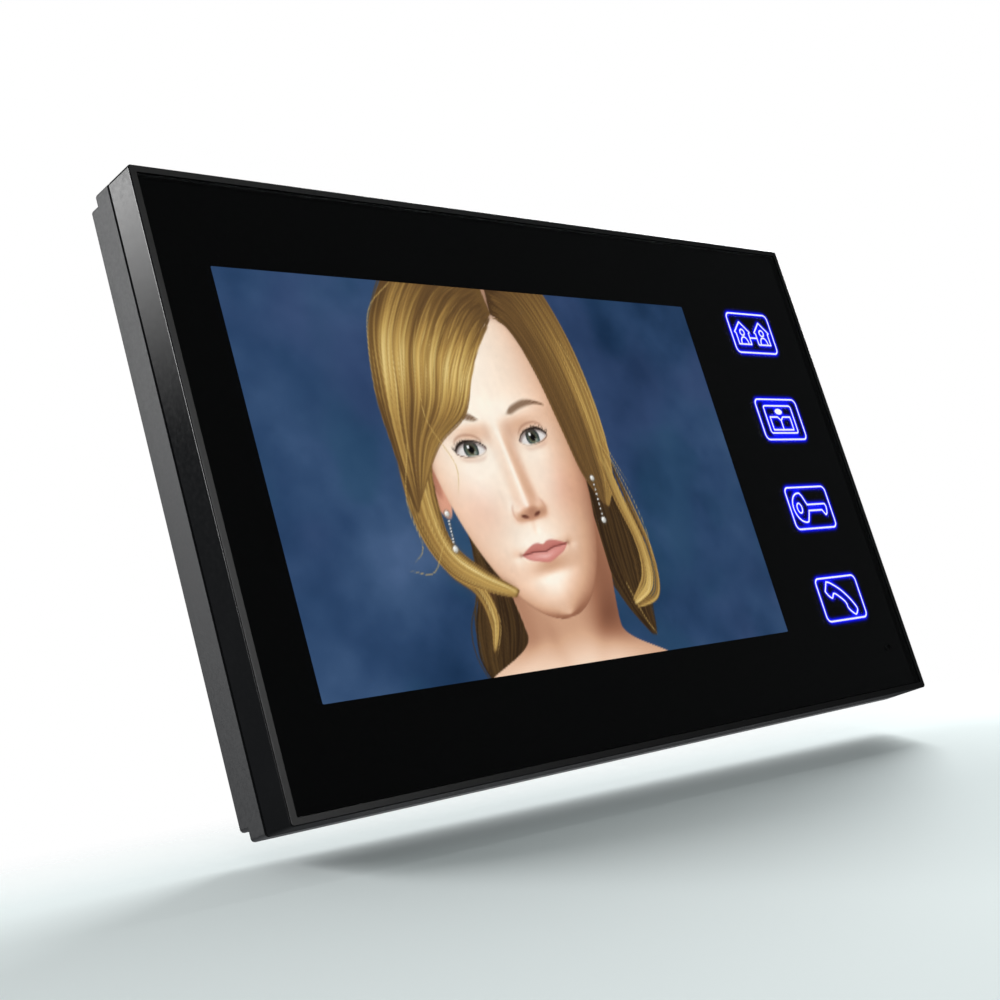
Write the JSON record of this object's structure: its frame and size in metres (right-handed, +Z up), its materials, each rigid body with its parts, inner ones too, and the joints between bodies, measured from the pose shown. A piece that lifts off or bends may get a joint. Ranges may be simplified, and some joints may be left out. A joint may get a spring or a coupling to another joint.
{
  "type": "video intercom monitor",
  "caption": "Slim wall-hung indoor video intercom monitor: a landscape screen and touch keys behind one sheet of black glass, on a lift-off steel wall bracket.",
  "frame": {"origin": "centre of the wall bracket's back face, on the wall", "axes": "+X to the right of a person who looks at the screen, +Y into the wall, +Z up"},
  "size_m": [0.2215, 0.0162, 0.1334],
  "materials": {
    "frame_gloss_black": "polished black, a little grey where it catches light",
    "front_glass_black": "mirror-smooth glass, printed black behind except for the screen window and the key icons",
    "bonding_tape": "thin black foam tape",
    "gasket_foam": "black cell foam",
    "sheet_steel": "plain pressed sheet",
    "lcd_picture": "lit picture of a caller before a mottled blue backdrop",
    "light_guide": "clear moulded acrylic",
    "flex_ribbon": "amber film with copper tracks",
    "connector_white": "off-white nylon",
    "circuit_board": "green solder mask",
    "chip_black": "moulded epoxy",
    "capacitor_can": "drawn can",
    "led_blue": "clear lens, blue light",
    "speaker_steel": "black coated steel",
    "speaker_paper": "pressed black paper",
    "rubber_black": "soft moulded rubber",
    "control_plastic": "fine satin grain",
    "case_matte_black": "fine spark-eroded grain",
    "screw_black": "black oxide",
    "screw_steel": "bright zinc",
    "bracket_steel": "zinc plated sheet, about 1.2 mm"
  },
  "bodies": {
    "wall_bracket": {"wall_bracket": "bracket_steel"},
    "monitor": {"front_frame": "frame_gloss_black", "front_glass": "front_glass_black", "glass_tape": "bonding_tape", "lcd_gasket": "gasket_foam", "lcd_bezel": "sheet_steel", "lcd_panel": "lcd_picture", "lcd_light_guide": "light_guide", "lcd_back_tray": "sheet_steel", "lcd_flex_cable": "flex_ribbon", "lcd_connector": "connector_white", "key_board": "circuit_board", "key_board_cable": "flex_ribbon", "main_board": "circuit_board", "main_processor": "chip_black", "video_decoder": "chip_black", "power_inductor": "chip_black", "filter_capacitor_1": "capacitor_can", "filter_capacitor_2": "capacitor_can", "door_1_socket": "connector_white", "door_2_socket": "connector_white", "power_socket": "connector_white", "control_board": "circuit_board", "chime_switch": "chip_black", "speaker_gasket": "gasket_foam", "speaker_basket": "speaker_steel", "speaker_magnet": "speaker_steel", "speaker_cone": "speaker_paper", "microphone_boot": "rubber_black", "microphone": "capacitor_can", "rear_case": "case_matte_black", "intercom_key_light_guide": "light_guide", "intercom_key_led": "led_blue", "record_key_light_guide": "light_guide", "record_key_led": "led_blue", "unlock_key_light_guide": "light_guide", "unlock_key_led": "led_blue", "talk_key_light_guide": "light_guide", "talk_key_led": "led_blue", "case_screw_1": "screw_black", "board_screw_1": "screw_steel", "case_screw_2": "screw_black", "board_screw_2": "screw_steel", "case_screw_3": "screw_black", "board_screw_3": "screw_steel", "case_screw_4": "screw_black", "board_screw_4": "screw_steel", "volume_potentiometer": "chip_black", "brightness_potentiometer": "chip_black", "contrast_potentiometer": "chip_black"},
    "volume_wheel": {"volume_wheel": "control_plastic"},
    "brightness_wheel": {"brightness_wheel": "control_plastic"},
    "contrast_wheel": {"contrast_wheel": "control_plastic"},
    "chime_button": {"chime_button": "control_plastic"}
  },
  "joints": [
    {"name": "monitor_lift", "type": "slide", "parent": "wall_bracket", "child": "monitor", "axis": [0, 0, 1], "range_m": [0, 0.007]},
    {"name": "volume_turn", "type": "hinge", "parent": "monitor", "child": "volume_wheel", "pos_m": [0.10425, -0.0054, 0.044], "axis": [0, -1, 0], "range_deg": [-135, 135]},
    {"name": "brightness_turn", "type": "hinge", "parent": "monitor", "child": "brightness_wheel", "pos_m": [0.10425, -0.0054, 0.026], "axis": [0, -1, 0], "range_deg": [-135, 135]},
    {"name": "contrast_turn", "type": "hinge", "parent": "monitor", "child": "contrast_wheel", "pos_m": [0.10425, -0.0054, 0.008], "axis": [0, -1, 0], "range_deg": [-135, 135]},
    {"name": "chime_press", "type": "slide", "parent": "monitor", "child": "chime_button", "axis": [-1, 0, 0], "range_m": [0, 0.0004], "stiffness_N_per_m": 1200, "springref_m": -0.0005}
  ]
}
